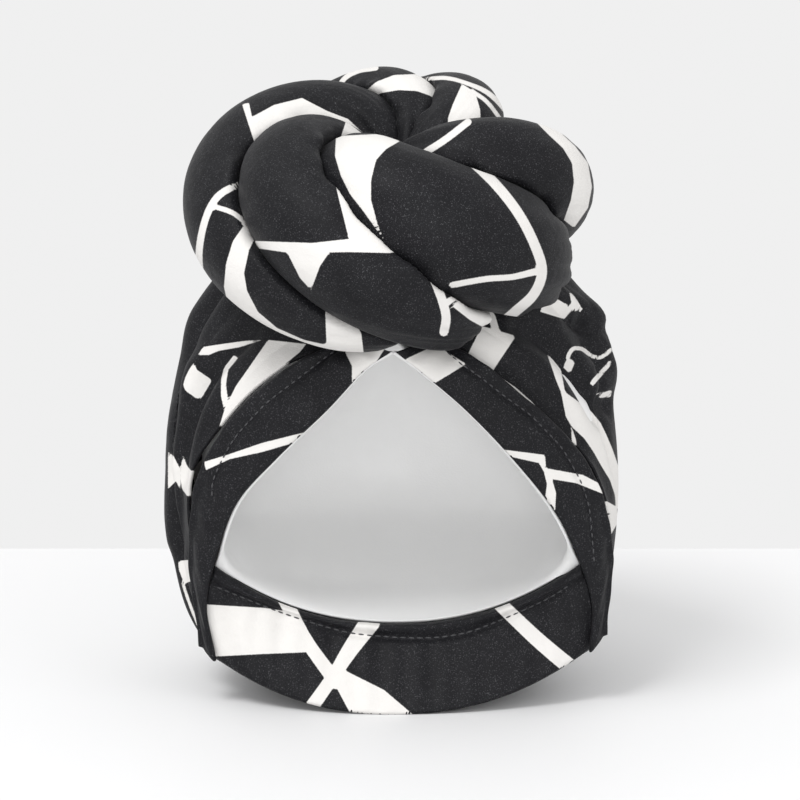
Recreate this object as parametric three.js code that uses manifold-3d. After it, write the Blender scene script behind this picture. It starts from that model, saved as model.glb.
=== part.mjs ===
// A ready-tied turban: a gathered cap with a pointed front band, a lining, a nape facing and
// a knot of stuffed cloth rolls. Millimetres, +Z up, +X to the viewer's right, +Y to the back.
// The cap stands on its flattened underside, with the opening towards -Y.

import * as THREE from 'three';
import { mergeVertices } from 'three/addons/utils/BufferGeometryUtils.js';
import Module from 'manifold-3d';

const wasm = await Module();
wasm.setup();

// Driving sizes of the opening
const ARCH_HALF_SPAN = 80; // half the width between the lower corners of the opening
const ARCH_HEIGHT = 157; // from the table to the point of the arch
const ARCH_LEAN = 12; // how far the corners lie behind the nape's front edge
const BAND_SET_BACK = 20; // how far the band's seam lies behind its front edge
const NAPE_WIDTH = 41; // the nape facing from its fold to its hem, up the slope
const NAPE_SLOPE = 52; // degrees that the facing rises from the table

// Driving sizes of the cap
const SIDE_BULGE = 14.5; // how far the crown stands out beyond the opening on each side
const CROWN_DEPTH = 136; // from the nape's front edge to the back of the crown
const LINING_EASE = 10; // how far the lining lies inside the crown at the sides
const LINING_DEPTH = 112; // from the nape's front edge to the back of the lining

// Cloth
const CLOTH = 2.0; // gathered outer cloth
const BAND_CLOTH = 2.6; // folded and stitched front band
const SEAM_RIDGE = 1.0; // extra height of the band's outer seam
const NAPE_CLOTH = 2.2; // facing, two layers
const HEM_ROLL = 4.4; // thickness of the rolled hem
const HEM_STATION = 0.26; // where on the arms the nape's hem ends
const LINING_CLOTH = 1.3; // satin with its seam allowance
const LINING_TUCK = 0.5; // how far the lining's sides are tucked in behind the arms
const GAP = 0.3; // clearance between neighbouring pieces

// Knot
const KNOT_RING = 42.5; // radius of the circle that the rolls wind round
const KNOT_ROPE = 44; // radius of all the rolls together round that circle
const KNOT_TILT = 13; // degrees that the knot leans towards the front
const KNOT_OFFSET = -2; // its centre, left of the cap's middle
const KNOT_BACK = 35; // its centre behind the nape's front edge
const KNOT_SINK = 1.0; // how far its soft underside is pressed in where it sits

const HALF_WIDTH = ARCH_HALF_SPAN + SIDE_BULGE;
const TILT = THREE.MathUtils.degToRad(KNOT_TILT);

// One row for each station of a front arm, from its lower corner to the point of the arch.
// across, up and back place the front edge as shares of ARCH_HALF_SPAN, ARCH_HEIGHT and
// ARCH_LEAN. seamAcross, seamUp and seamBack place the outer seam, the last of them as a
// share of BAND_SET_BACK.
const LEFT_ARM = [
  { across: 0.94, up: 0.125, back: 1.0, seamAcross: 1.0, seamUp: 0.165, seamBack: 0.9 },
  { across: 0.985, up: 0.271, back: 0.83, seamAcross: 1.04, seamUp: 0.35, seamBack: 1.0 },
  { across: 0.925, up: 0.419, back: 0.67, seamAcross: 1.045, seamUp: 0.528, seamBack: 0.9 },
  { across: 0.812, up: 0.573, back: 0.42, seamAcross: 0.975, seamUp: 0.68, seamBack: 0.75 },
  { across: 0.6, up: 0.7, back: 0.17, seamAcross: 0.79, seamUp: 0.828, seamBack: 0.55 },
  { across: 0.338, up: 0.834, back: -0.08, seamAcross: 0.562, seamUp: 0.93, seamBack: 0.4 },
  { across: 0.15, up: 0.942, back: -0.33, seamAcross: 0.38, seamUp: 0.975, seamBack: 0.4 },
  { across: 0.012, up: 0.995, back: -0.5, seamAcross: 0.2, seamUp: 0.995, seamBack: 0.7 },
];
const RIGHT_ARM = [
  { across: 1.035, up: 0.15, back: 1.0, seamAcross: 1.1, seamUp: 0.198, seamBack: 0.9 },
  { across: 1.044, up: 0.28, back: 0.83, seamAcross: 1.125, seamUp: 0.376, seamBack: 1.0 },
  { across: 0.962, up: 0.422, back: 0.67, seamAcross: 1.112, seamUp: 0.522, seamBack: 0.9 },
  { across: 0.825, up: 0.56, back: 0.42, seamAcross: 1.0, seamUp: 0.675, seamBack: 0.75 },
  { across: 0.6, up: 0.707, back: 0.17, seamAcross: 0.825, seamUp: 0.786, seamBack: 0.55 },
  { across: 0.37, up: 0.834, back: -0.08, seamAcross: 0.6, seamUp: 0.888, seamBack: 0.4 },
  { across: 0.162, up: 0.93, back: -0.33, seamAcross: 0.425, seamUp: 0.955, seamBack: 0.4 },
  { across: 0.012, up: 0.995, back: -0.5, seamAcross: 0.2, seamUp: 0.995, seamBack: 0.7 },
];

// One row for each section of the crown, from the gathers under the knot, down to the heel
// and forward along the table. arm is the station of the front arms that it starts from.
// side and sideBack place its widest point as shares of HALF_WIDTH and CROWN_DEPTH, sideUp
// as a share of ARCH_HEIGHT. back and backUp place its rearmost point in the same way.
const CROWN = [
  { arm: 1.0, side: 0.2, sideBack: 0.26, sideUp: 1.1, back: 0.36, backUp: 1.14 },
  { arm: 0.91, side: 0.63, sideBack: 0.34, sideUp: 1.13, back: 0.62, backUp: 1.17 },
  { arm: 0.82, side: 0.87, sideBack: 0.39, sideUp: 1.01, back: 0.85, backUp: 1.08 },
  { arm: 0.68, side: 0.93, sideBack: 0.37, sideUp: 0.89, back: 0.95, backUp: 0.89 },
  { arm: 0.53, side: 0.975, sideBack: 0.34, sideUp: 0.74, back: 1.0, backUp: 0.71 },
  { arm: 0.39, side: 0.995, sideBack: 0.32, sideUp: 0.57, back: 1.0, backUp: 0.52 },
  { arm: 0.27, side: 0.975, sideBack: 0.31, sideUp: 0.41, back: 0.96, backUp: 0.33 },
  { arm: 0.17, side: 0.93, sideBack: 0.3, sideUp: 0.275, back: 0.9, backUp: 0.16 },
  { arm: 0.1, side: 0.86, sideBack: 0.27, sideUp: 0.18, back: 0.82, backUp: 0.045 },
  { arm: 0.06, side: 0.76, sideBack: 0.23, sideUp: 0.1, back: 0.7, backUp: -0.012 },
  { arm: 0.03, side: 0.66, sideBack: 0.15, sideUp: 0.062, back: 0.4, backUp: -0.012 },
];

// The lining in the same way, its sides inside the crown's by LINING_EASE and back as a
// share of LINING_DEPTH.
const LINING = [
  { arm: 1.0, side: 0.1, sideBack: 0.14, sideUp: 0.95, back: 0.32, backUp: 0.97 },
  { arm: 0.88, side: 0.42, sideBack: 0.2, sideUp: 0.94, back: 0.62, backUp: 0.99 },
  { arm: 0.74, side: 0.78, sideBack: 0.27, sideUp: 0.9, back: 0.88, backUp: 0.93 },
  { arm: 0.6, side: 0.93, sideBack: 0.29, sideUp: 0.78, back: 0.98, backUp: 0.78 },
  { arm: 0.48, side: 0.99, sideBack: 0.29, sideUp: 0.63, back: 1.0, backUp: 0.62 },
  { arm: 0.38, side: 0.97, sideBack: 0.29, sideUp: 0.49, back: 0.95, backUp: 0.46 },
  { arm: 0.32, side: 0.9, sideBack: 0.27, sideUp: 0.38, back: 0.78, backUp: 0.31 },
];

// One row for each fold of the crown. side is -1 on the left and 1 on the right, top and
// foot are how far round from the seam it starts and ends as shares of half the crown,
// width is a share of the same and rise is a share of the cloth's own thickness.
const FOLDS = [
  { side: -1, top: 0.1, foot: 0.05, width: 0.035, rise: 1.5 },
  { side: -1, top: 0.2, foot: 0.13, width: 0.05, rise: 1.9 },
  { side: -1, top: 0.46, foot: 0.36, width: 0.08, rise: 2.3 },
  { side: -1, top: 0.74, foot: 0.66, width: 0.09, rise: 2.2 },
  { side: 1, top: 0.12, foot: 0.05, width: 0.045, rise: 1.9 },
  { side: 1, top: 0.27, foot: 0.15, width: 0.05, rise: 1.7 },
  { side: 1, top: 0.5, foot: 0.38, width: 0.08, rise: 2.3 },
  { side: 1, top: 0.8, foot: 0.72, width: 0.09, rise: 2.2 },
];

// One row for each roll of the knot, in the order in which they lie on each other. start is
// its azimuth at the pit in degrees, from the front round by the right, and sweep is how far
// it winds round the ring. pit, full and end are its radii as shares of KNOT_ROPE, rise and
// foot the angles on the ring's section where it starts and ends.
const ROLLS = [
  { name: 'knot_roll_1', start: 316, sweep: 120, pit: 0.38, full: 0.59, end: 0.44, rise: 160, foot: -62 },
  { name: 'knot_roll_2', start: 264, sweep: 132, pit: 0.34, full: 0.53, end: 0.4, rise: 155, foot: -70 },
  { name: 'knot_roll_3', start: 192, sweep: 160, pit: 0.34, full: 0.55, end: 0.44, rise: 140, foot: -84 },
  { name: 'knot_roll_4', start: 40, sweep: 85, pit: 0.32, full: 0.46, end: 0.4, rise: 150, foot: -60 },
  { name: 'knot_roll_5', start: 150, sweep: 72, pit: 0.36, full: 0.43, end: 0.38, rise: 150, foot: -20 },
  { name: 'knot_roll_6', start: 104, sweep: 112, pit: 0.32, full: 0.46, end: 0.4, rise: 145, foot: -50 },
];

const vec = (x, y, z) => new THREE.Vector3(x, y, z);
const mix = THREE.MathUtils.lerp;

// A smooth value at share t of the way through a list of values.
function smooth(values, t) {
  const last = values.length - 1;
  const x = Math.min(Math.max(t, 0), 1) * last;
  const i = Math.min(Math.floor(x), last - 1);
  const f = x - i;
  const b = values[i];
  const c = values[i + 1];
  const a = i > 0 ? values[i - 1] : 2 * b - c;
  const d = i + 2 <= last ? values[i + 2] : 2 * c - b;
  return b + (f / 2) * (c - a + f * (2 * a - 5 * b + 4 * c - d + f * (3 * (b - c) + d - a)));
}

const column = (table, key, t) => smooth(table.map((row) => row[key]), t);

function smoothPoint(points, t) {
  return vec(...['x', 'y', 'z'].map((axis) => smooth(points.map((p) => p[axis]), t)));
}

// Front edge and outer seam of an arm at share t from its corner to the point of the arch.
function armEdge(side, t) {
  const table = side < 0 ? LEFT_ARM : RIGHT_ARM;
  return vec(
    side * column(table, 'across', t) * ARCH_HALF_SPAN,
    column(table, 'back', t) * ARCH_LEAN,
    column(table, 'up', t) * ARCH_HEIGHT,
  );
}

function armSeam(side, t) {
  const table = side < 0 ? LEFT_ARM : RIGHT_ARM;
  return vec(
    side * column(table, 'seamAcross', t) * ARCH_HALF_SPAN,
    column(table, 'seamBack', t) * BAND_SET_BACK,
    column(table, 'seamUp', t) * ARCH_HEIGHT,
  );
}

// A closed body between two grids of points with the same rows and columns.
function bodyBetween(outer, inner) {
  const rows = outer.length;
  const cols = outer[0].length;
  const points = [...outer.flat(), ...inner.flat()];
  const at = (layer, i, j) => (layer * rows + i) * cols + j;
  const faces = [];
  const quad = (a, b, c, d) => {
    const short = points[a].distanceTo(points[c]) < points[b].distanceTo(points[d]);
    faces.push(...(short ? [a, b, c, a, c, d] : [a, b, d, b, c, d]));
  };
  for (let i = 0; i + 1 < rows; i++) {
    for (let j = 0; j + 1 < cols; j++) {
      quad(at(0, i, j), at(0, i, j + 1), at(0, i + 1, j + 1), at(0, i + 1, j));
      quad(at(1, i, j), at(1, i + 1, j), at(1, i + 1, j + 1), at(1, i, j + 1));
    }
  }
  for (let j = 0; j + 1 < cols; j++) {
    quad(at(0, 0, j), at(1, 0, j), at(1, 0, j + 1), at(0, 0, j + 1));
    quad(at(0, rows - 1, j + 1), at(1, rows - 1, j + 1), at(1, rows - 1, j), at(0, rows - 1, j));
  }
  for (let i = 0; i + 1 < rows; i++) {
    quad(at(0, i + 1, 0), at(1, i + 1, 0), at(1, i, 0), at(0, i, 0));
    quad(at(0, i, cols - 1), at(1, i, cols - 1), at(1, i + 1, cols - 1), at(0, i + 1, cols - 1));
  }
  return closedGeometry(points, faces);
}

// Geometry from points and faces, turned so that its faces point out.
function closedGeometry(points, faces) {
  const volume = faces.reduce((sum, _, k) => {
    if (k % 3) return sum;
    const [a, b, c] = [points[faces[k]], points[faces[k + 1]], points[faces[k + 2]]];
    return sum + a.dot(b.clone().cross(c));
  }, 0);
  const geometry = new THREE.BufferGeometry();
  geometry.setAttribute(
    'position',
    new THREE.Float32BufferAttribute(points.flatMap((p) => [p.x, p.y, p.z]), 3),
  );
  geometry.setIndex(volume > 0 ? faces : faces.reverse());
  return geometry;
}

// A grid of points over a sheet, and each point's normal.
function sheetGrid(rows, cols, pointAt) {
  const points = Array.from({ length: rows }, (_, i) =>
    Array.from({ length: cols }, (_, j) => pointAt(i / (rows - 1), j / (cols - 1))),
  );
  const normals = points.map((row, i) =>
    row.map((_, j) => {
      const down = points[Math.min(i + 1, rows - 1)][j].clone().sub(points[Math.max(i - 1, 0)][j]);
      const on = row[Math.min(j + 1, cols - 1)].clone().sub(row[Math.max(j - 1, 0)]);
      return on.cross(down).normalize();
    }),
  );
  return { points, normals };
}

function offset({ points, normals }, distance) {
  return points.map((row, i) =>
    row.map((p, j) => p.clone().addScaledVector(normals[i][j], distance(i, j))),
  );
}

// The grid with its four borders moved outwards in the sheet by a margin.
function widen({ points, normals }, margin) {
  if (!margin) return { points, normals };
  const rows = points.length;
  const cols = points[0].length;
  const step = (i, last) => (i === 0 ? 1 : i === last ? -1 : 0);
  const wide = points.map((row, i) =>
    row.map((p, j) => {
      const [di, dj] = [step(i, rows - 1), step(j, cols - 1)];
      const moved = p.clone();
      if (di) moved.addScaledVector(p.clone().sub(points[i + di][j]).normalize(), margin);
      if (dj) moved.addScaledVector(p.clone().sub(row[j + dj]).normalize(), margin);
      return moved;
    }),
  );
  return { points: wide, normals };
}

// Cloth never reaches below the table, or below its own thickness above it.
const raise = (grid, floor) => grid.map((row) => row.map((p) => vec(p.x, p.y, Math.max(p.z, floor))));

// How far a section's back corner lies across and back, as shares of its side and its back.
const TURN = { across: 0.74, back: 0.72 };

// One section of the crown or the lining: seven points from the left arm round the back.
function sectionPoints(table, t, halfWidth, depth, startOf) {
  const value = (key) => column(table, key, t);
  const side = value('side') * halfWidth;
  const sideY = value('sideBack') * CROWN_DEPTH;
  const sideZ = value('sideUp') * ARCH_HEIGHT;
  const backY = value('back') * depth;
  const backZ = value('backUp') * ARCH_HEIGHT;
  const turnY = mix(sideY, backY, TURN.back);
  const turnZ = mix(sideZ, backZ, TURN.back);
  return [
    startOf(-1, value('arm')),
    vec(-side, sideY, sideZ),
    vec(-side * TURN.across, turnY, turnZ),
    vec(0, backY, backZ),
    vec(side * TURN.across, turnY, turnZ),
    vec(side, sideY, sideZ),
    startOf(1, value('arm')),
  ];
}

// Columns lie closer together near the arms, where the folds are; 1 would space them evenly.
const SPREAD = 0.45;

const spread = (v) => {
  const s = 2 * v - 1;
  return (1 + mix(Math.sin((Math.PI / 2) * s), s, SPREAD)) / 2;
};

const FOLD_RUN = 1.12; // the folds have run out at 1 / FOLD_RUN of the way down
const FOLD_SWELL = 0.6; // how quickly they rise from the knot; 1 is slower

// Height of the folds at share t down the crown and share v round it.
function foldHeight(t, v) {
  const fade = Math.sin(Math.PI * Math.min(t * FOLD_RUN, 1)) ** FOLD_SWELL;
  return FOLDS.reduce((sum, fold) => {
    const round = fold.side < 0 ? 2 * v : 2 - 2 * v;
    const place = mix(fold.top, fold.foot, t);
    return sum + CLOTH * fold.rise * fade * Math.exp(-(((round - place) / fold.width) ** 2));
  }, 0);
}

// Where the crown starts beside an arm's seam.
const behindSeam = (side, t) => {
  const seam = armSeam(side, t);
  const out = seam.clone().sub(armEdge(side, t)).normalize();
  return seam.addScaledVector(out, GAP + SEAM_RIDGE);
};

const CROWN_SHARE = 0.93; // the rest of the crown's rows lead to the nape's fold
const CROWN_ROWS = 21;
const CROWN_COLS = 40;

function crownGrid(rows, cols) {
  const base = sheetGrid(rows, cols, (t, v) => {
    const round = spread(v);
    const share = Math.min(t / CROWN_SHARE, 1);
    const body = smoothPoint(sectionPoints(CROWN, share, HALF_WIDTH, CROWN_DEPTH, behindSeam), round);
    const front = napePoint(0, 2 * round - 1).add(vec(0, NAPE_CLOTH + GAP, 0));
    return body.lerp(front, Math.max(0, (t - CROWN_SHARE) / (1 - CROWN_SHARE)));
  });
  const folded = offset(base, (i, j) => foldHeight(i / (rows - 1), spread(j / (cols - 1))));
  return sheetGrid(rows, cols, (t, v) => folded[Math.round(t * (rows - 1))][Math.round(v * (cols - 1))]);
}

// The crown's wall, its outer face on the sections; margin makes it thicker on both faces.
function crownWall(margin = 0) {
  const grid = widen(crownGrid(CROWN_ROWS, CROWN_COLS), margin);
  const outer = raise(offset(grid, () => margin), 0);
  const inner = raise(offset(grid, () => -CLOTH - margin), CLOTH);
  return bodyBetween(outer, inner);
}

// The lining starts behind the arms' front edge and ends behind the nape's hem.
const behindEdge = (side, t) =>
  armEdge(side, t).add(vec(-side * LINING_TUCK, BAND_CLOTH / 2 + LINING_CLOTH + GAP, 0));

// How sharply the facing's fold, its hem and its height turn up at the ends.
const NAPE_BEND = { fold: 2, hem: 2.6, up: 2.3 };

// The facing at share t from its fold to its hem; u runs from -1 at the left to 1 at the right.
function napePoint(t, u) {
  const side = Math.sign(u) || 1;
  const slope = THREE.MathUtils.degToRad(NAPE_SLOPE);
  const end = armEdge(side, t * HEM_STATION).add(vec(0, (BAND_CLOTH + HEM_ROLL) / 2 + GAP, 0));
  const k = Math.abs(u);
  return vec(
    end.x * k,
    mix(NAPE_WIDTH * Math.cos(slope) * t, end.y, k ** mix(NAPE_BEND.fold, NAPE_BEND.hem, t)),
    mix(NAPE_WIDTH * Math.sin(slope) * t, end.z, k ** NAPE_BEND.up),
  );
}

const LINING_SHARE = 0.9; // the lining's sections end here, and the rest hangs to the hem
const LINING_TURN = 0.8; // where it starts to turn in to the hem
const LINING_ROWS = 14;
const LINING_COLS = 27;
const HEM_REST = { back: 0.9, down: 0.2 }; // from the hem to the lining, as shares of HEM_ROLL

function liningGrid(rows, cols) {
  const half = HALF_WIDTH - LINING_EASE;
  return sheetGrid(rows, cols, (t, v) => {
    const section = sectionPoints(LINING, Math.min(t / LINING_SHARE, 1), half, LINING_DEPTH, behindEdge);
    const body = smoothPoint(section, v);
    const u = 2 * v - 1;
    const hem = napePoint(1, u).add(vec(0, HEM_ROLL * HEM_REST.back, -HEM_ROLL * HEM_REST.down));
    const share = Math.max(0, (t - LINING_TURN) / (1 - LINING_TURN));
    return body.lerp(hem, share * share * (3 - 2 * share));
  });
}

function liningWall() {
  const grid = liningGrid(LINING_ROWS, LINING_COLS);
  return bodyBetween(offset(grid, () => 0), offset(grid, () => -LINING_CLOTH));
}

const BAND_CREST = 0.1; // how far the band bulges between its edges, as a share of its width
const CREST_LEAN = { across: 0.4, up: 0.3 }; // which way it bulges, beside straight forward
const RIDGE = { place: 0.93, breadth: 0.1 }; // the seam's place across the band, and its breadth
const EDGE = { thickness: 0.55, reach: 3 }; // how thin the band's edges are, and how soon it is full
const ARM_ROWS = 20;
const ARM_COLS = 7;

// A front arm: a folded strip with a raised seam along its outer side.
function armStrip(side, margin = 0) {
  const strip = sheetGrid(ARM_ROWS, ARM_COLS, (t, v) => {
    const edge = armEdge(side, t);
    const seam = armSeam(side, t);
    const crest = BAND_CREST * edge.distanceTo(seam) * Math.sin(Math.PI * v);
    return edge.lerp(seam, v).add(vec(side * crest * CREST_LEAN.across, -crest, crest * CREST_LEAN.up));
  });
  const grid = widen(strip, 2 * margin);
  const half = (j) => {
    const v = j / (ARM_COLS - 1);
    const ridge = SEAM_RIDGE * Math.exp(-(((v - RIDGE.place) / RIDGE.breadth) ** 2));
    const round = Math.min(1, EDGE.thickness + EDGE.reach * Math.min(v, 1 - v));
    return (BAND_CLOTH / 2) * round + ridge + margin;
  };
  return bodyBetween(
    offset(grid, (i, j) => side * half(j)),
    offset(grid, () => -side * (BAND_CLOTH / 2 + margin)),
  );
}

const HEM = { place: 0.93, breadth: 0.1 }; // the rolled hem's place up the facing
const NAPE_ROWS = 7;
const NAPE_COLS = 23;

// The facing inside the nape, from the fold at the table up to its rolled hem.
function napeStrip(margin = 0) {
  const strip = sheetGrid(NAPE_ROWS, NAPE_COLS, (t, v) => napePoint(t, 2 * v - 1));
  const grid = widen(strip, 2 * margin);
  const half = (i) => {
    const t = i / (NAPE_ROWS - 1);
    return mix(NAPE_CLOTH, HEM_ROLL, Math.exp(-(((t - HEM.place) / HEM.breadth) ** 2))) / 2 + margin;
  };
  return bodyBetween(
    raise(offset(grid, (i) => half(i)), 0),
    raise(offset(grid, (i) => -half(i)), 0),
  );
}

const APEX_LEAN = 0.5; // how far the point of the arch leans forward, as a share of ARCH_LEAN

// The knot's ring: the plane that it sits on touches the point of the arch.
const seat = vec(0, -APEX_LEAN * ARCH_LEAN, ARCH_HEIGHT);
const axis = vec(0, -Math.sin(TILT), Math.cos(TILT));
const knotCentre = vec(
  KNOT_OFFSET,
  KNOT_BACK,
  seat.z + (KNOT_BACK - seat.y) * Math.tan(TILT) + (KNOT_ROPE - KNOT_SINK) / Math.cos(TILT),
);

function onRing(azimuth, section, reach) {
  const turn = THREE.MathUtils.degToRad(azimuth);
  const angle = THREE.MathUtils.degToRad(section);
  const out = vec(Math.sin(turn), -Math.cos(turn), 0).applyAxisAngle(vec(1, 0, 0), TILT);
  return knotCentre
    .clone()
    .addScaledVector(out, KNOT_RING + reach * Math.cos(angle))
    .addScaledVector(axis, reach * Math.sin(angle));
}

const FILL = 0.75; // how nearly full a roll is a quarter of the way along
const STEP = 0.01; // the short step that finds which way a roll runs

// Centre and radius of a roll at share p from the pit to its foot.
function rollAt(roll, p) {
  const shares = [roll.pit, mix(roll.pit, roll.full, FILL), roll.full, roll.full, roll.end];
  const radius = KNOT_ROPE * smooth(shares, p);
  const centre = onRing(
    roll.start + roll.sweep * p,
    mix(roll.rise, roll.foot, p),
    KNOT_ROPE - radius,
  );
  return { centre, radius };
}

const ROLL_STEPS = 13;
const ROLL_SIDES = 12;
const CAP_STEPS = 2;

// A stuffed roll with round ends; margin makes it fatter.
function rollBody(roll, margin = 0) {
  const rings = [];
  const add = (p, forward, scale) => {
    const { centre, radius } = rollAt(roll, p);
    const ahead = rollAt(roll, Math.min(p + STEP, 1)).centre;
    const behind = rollAt(roll, Math.max(p - STEP, 0)).centre;
    const along = ahead.sub(behind).normalize();
    const right = along.clone().cross(axis).normalize();
    const up = right.clone().cross(along);
    const middle = centre.clone().addScaledVector(along, forward * (radius + margin));
    rings.push({ middle, right, up, radius: (radius + margin) * scale });
  };
  for (let k = 1; k <= CAP_STEPS; k++) {
    const angle = (Math.PI / 2) * (k / (CAP_STEPS + 1));
    add(0, -Math.cos(angle), Math.sin(angle));
  }
  for (let k = 0; k <= ROLL_STEPS; k++) add(k / ROLL_STEPS, 0, 1);
  for (let k = CAP_STEPS; k >= 1; k--) {
    const angle = (Math.PI / 2) * (k / (CAP_STEPS + 1));
    add(1, Math.cos(angle), Math.sin(angle));
  }
  const points = rings.flatMap(({ middle, right, up, radius }) =>
    Array.from({ length: ROLL_SIDES }, (_, k) => {
      const angle = (2 * Math.PI * k) / ROLL_SIDES;
      return middle
        .clone()
        .addScaledVector(right, radius * Math.cos(angle))
        .addScaledVector(up, radius * Math.sin(angle));
    }),
  );
  const tip = (ring, p, way) => {
    const { centre, radius } = rollAt(roll, p);
    const along = ring.right.clone().cross(ring.up).normalize();
    return centre.addScaledVector(along, -way * (radius + margin));
  };
  points.push(tip(rings[0], 0, -1), tip(rings[rings.length - 1], 1, 1));
  const faces = [];
  const at = (i, k) => i * ROLL_SIDES + (k % ROLL_SIDES);
  for (let k = 0; k < ROLL_SIDES; k++) {
    faces.push(points.length - 2, at(0, k + 1), at(0, k));
    faces.push(points.length - 1, at(rings.length - 1, k), at(rings.length - 1, k + 1));
    for (let i = 0; i + 1 < rings.length; i++) {
      faces.push(at(i, k), at(i, k + 1), at(i + 1, k + 1), at(i, k), at(i + 1, k + 1), at(i + 1, k));
    }
  }
  return closedGeometry(points, faces);
}

function solidOf(geometry) {
  const bare = geometry.clone();
  bare.deleteAttribute('normal');
  bare.deleteAttribute('uv');
  const merged = mergeVertices(bare, 1e-4);
  return new wasm.Manifold(
    new wasm.Mesh({
      numProp: 3,
      vertProperties: new Float32Array(merged.attributes.position.array),
      triVerts: new Uint32Array(merged.index.array),
    }),
  );
}

function geometryOf(solid) {
  const mesh = solid.getMesh();
  const geometry = new THREE.BufferGeometry();
  geometry.setAttribute('position', new THREE.BufferAttribute(new Float32Array(mesh.vertProperties), 3));
  geometry.setIndex(new THREE.BufferAttribute(new Uint32Array(mesh.triVerts), 1));
  return geometry;
}

const print = new THREE.MeshStandardMaterial({ color: 0x26262a, roughness: 0.85, metalness: 0 });
const satin = new THREE.MeshStandardMaterial({ color: 0xe6e5e3, roughness: 0.55, metalness: 0 });

const turban = new THREE.Group();
function addPiece(name, geometry, material) {
  const mesh = new THREE.Mesh(geometry, material);
  mesh.name = name;
  turban.add(mesh);
}

// The bodies that are left of one without what its neighbours press in, the largest first.
function remains(body, ...others) {
  const rest = others.reduce((solid, other) => solid.subtract(other), body);
  return rest.decompose().sort((a, b) => b.volume() - a.volume());
}

// The largest of them alone, without the slivers that the cut parts from it.
const cut = (body, ...others) => geometryOf(remains(body, ...others)[0]);

const arms = [-1, 1].map((side) => solidOf(armStrip(side)));
const grownArms = [-1, 1].map((side) => solidOf(armStrip(side, GAP)));
addPiece('front_band_left', geometryOf(arms[0]), print);
addPiece('front_band_right', geometryOf(arms[1]), print);
addPiece('nape_band', cut(solidOf(napeStrip()), ...grownArms), print);
addPiece('crown', cut(solidOf(crownWall()), ...grownArms, solidOf(napeStrip(GAP))), print);

// The lining is two panels that meet in the middle.
const slit = wasm.Manifold.cube([GAP, 4 * CROWN_DEPTH, 4 * ARCH_HEIGHT], true);
remains(solidOf(liningWall()), ...grownArms, solidOf(napeStrip(GAP)), slit)
  .slice(0, 2)
  .sort((a, b) => a.boundingBox().min[0] - b.boundingBox().min[0])
  .forEach((panel, i) => addPiece(['lining_left', 'lining_right'][i], geometryOf(panel), satin));

// Each roll is pressed in by those that lie on it, and all by what the knot sits on.
let pressing = grownArms[0].add(grownArms[1]).add(solidOf(crownWall(GAP)));
for (const roll of ROLLS) {
  addPiece(roll.name, cut(solidOf(rollBody(roll)), pressing), print);
  pressing = pressing.add(solidOf(rollBody(roll, GAP)));
}

// The origin is the middle of the footprint, on the table.
const box = new THREE.Box3().setFromObject(turban);
turban.position.set(-(box.min.x + box.max.x) / 2, -(box.min.y + box.max.y) / 2, -box.min.z);

export default turban;
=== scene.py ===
import functools
import math
import random

import bmesh
import bpy
import numpy as np
from bpy.props import FloatProperty, IntProperty, PointerProperty
from mathutils import Matrix, Vector


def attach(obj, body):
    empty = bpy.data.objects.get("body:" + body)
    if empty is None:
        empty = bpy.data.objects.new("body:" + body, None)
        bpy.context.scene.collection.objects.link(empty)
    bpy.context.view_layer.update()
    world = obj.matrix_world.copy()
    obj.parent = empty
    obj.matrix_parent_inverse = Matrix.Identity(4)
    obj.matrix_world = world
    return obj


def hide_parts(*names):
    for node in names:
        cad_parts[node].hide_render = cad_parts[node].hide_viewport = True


bl_info = {
    "name": "Turban Cap",
    "version": (1, 0, 0),
    "blender": (4, 5, 0),
    "location": "View3D > Sidebar > Turban",
    "description": "Builds a ready-tied turban cap of printed cloth with a lining and a stuffed knot",
    "category": "Add Mesh",
}

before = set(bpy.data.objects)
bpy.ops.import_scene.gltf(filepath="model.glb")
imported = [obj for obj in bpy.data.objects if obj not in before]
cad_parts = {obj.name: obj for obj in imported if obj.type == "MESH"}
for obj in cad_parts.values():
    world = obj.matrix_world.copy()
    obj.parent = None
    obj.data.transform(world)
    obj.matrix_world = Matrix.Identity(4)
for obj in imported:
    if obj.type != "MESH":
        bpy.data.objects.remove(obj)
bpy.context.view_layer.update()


def table(columns, *rows):
    """A short table as one array for each named column."""
    return dict(zip(columns.split(), np.array(rows, float).T))


# One row for each station of a front arm, from its lower corner to the point of the arch.
# across, up and back place the front edge as shares of the arch's half span, its height and
# its lean. The seam columns place the outer seam, seam_back as a share of the band's set back.
LEFT_ARM = table(
    "across up back seam_across seam_up seam_back",
    (0.94, 0.125, 1.0, 1.0, 0.165, 0.9),
    (0.985, 0.271, 0.83, 1.04, 0.35, 1.0),
    (0.925, 0.419, 0.67, 1.045, 0.528, 0.9),
    (0.812, 0.573, 0.42, 0.975, 0.68, 0.75),
    (0.6, 0.7, 0.17, 0.79, 0.828, 0.55),
    (0.338, 0.834, -0.08, 0.562, 0.93, 0.4),
    (0.15, 0.942, -0.33, 0.38, 0.975, 0.4),
    (0.012, 0.995, -0.5, 0.2, 0.995, 0.7),
)
RIGHT_ARM = table(
    "across up back seam_across seam_up seam_back",
    (1.035, 0.15, 1.0, 1.1, 0.198, 0.9),
    (1.044, 0.28, 0.83, 1.125, 0.376, 1.0),
    (0.962, 0.422, 0.67, 1.112, 0.522, 0.9),
    (0.825, 0.56, 0.42, 1.0, 0.675, 0.75),
    (0.6, 0.707, 0.17, 0.825, 0.786, 0.55),
    (0.37, 0.834, -0.08, 0.6, 0.888, 0.4),
    (0.162, 0.93, -0.33, 0.425, 0.955, 0.4),
    (0.012, 0.995, -0.5, 0.2, 0.995, 0.7),
)

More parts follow.
